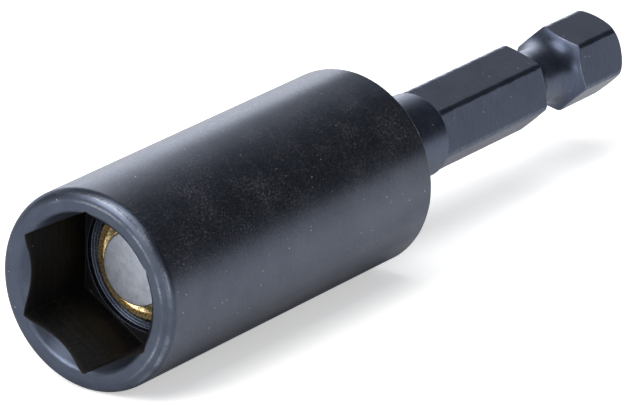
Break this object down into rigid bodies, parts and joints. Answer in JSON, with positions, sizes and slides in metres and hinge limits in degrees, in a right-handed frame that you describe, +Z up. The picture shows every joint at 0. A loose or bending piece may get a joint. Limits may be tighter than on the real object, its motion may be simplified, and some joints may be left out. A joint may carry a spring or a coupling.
{
  "type": "magnetic nut setter",
  "caption": "Black-oxide magnetic nut setter: a round socket with a broached hexagonal mouth, a magnet held in a brass bush at the bottom of it, and a hexagonal power-drive shank with a retaining groove.",
  "frame": {"origin": "centre of the flat drive end of the hex shank, on the tool's axis", "axes": "+X along the tool's axis from the drive end to the socket's mouth, +Z up with the tool lying on the socket's side"},
  "size_m": [0.069, 0.016, 0.016],
  "materials": {
    "socket_steel": "black oxide over turned steel, satin, rubbed bright on the edges",
    "shank_steel": "black oxide over milled and turned steel, satin",
    "bush_brass": "turned brass, lightly tarnished",
    "magnet_alloy": "ground magnet alloy, matt grey"
  },
  "bodies": {
    "root": {"nut_socket": "socket_steel", "hex_shank": "shank_steel", "magnet_bush": "bush_brass", "magnet": "magnet_alloy"}
  },
  "joints": []
}
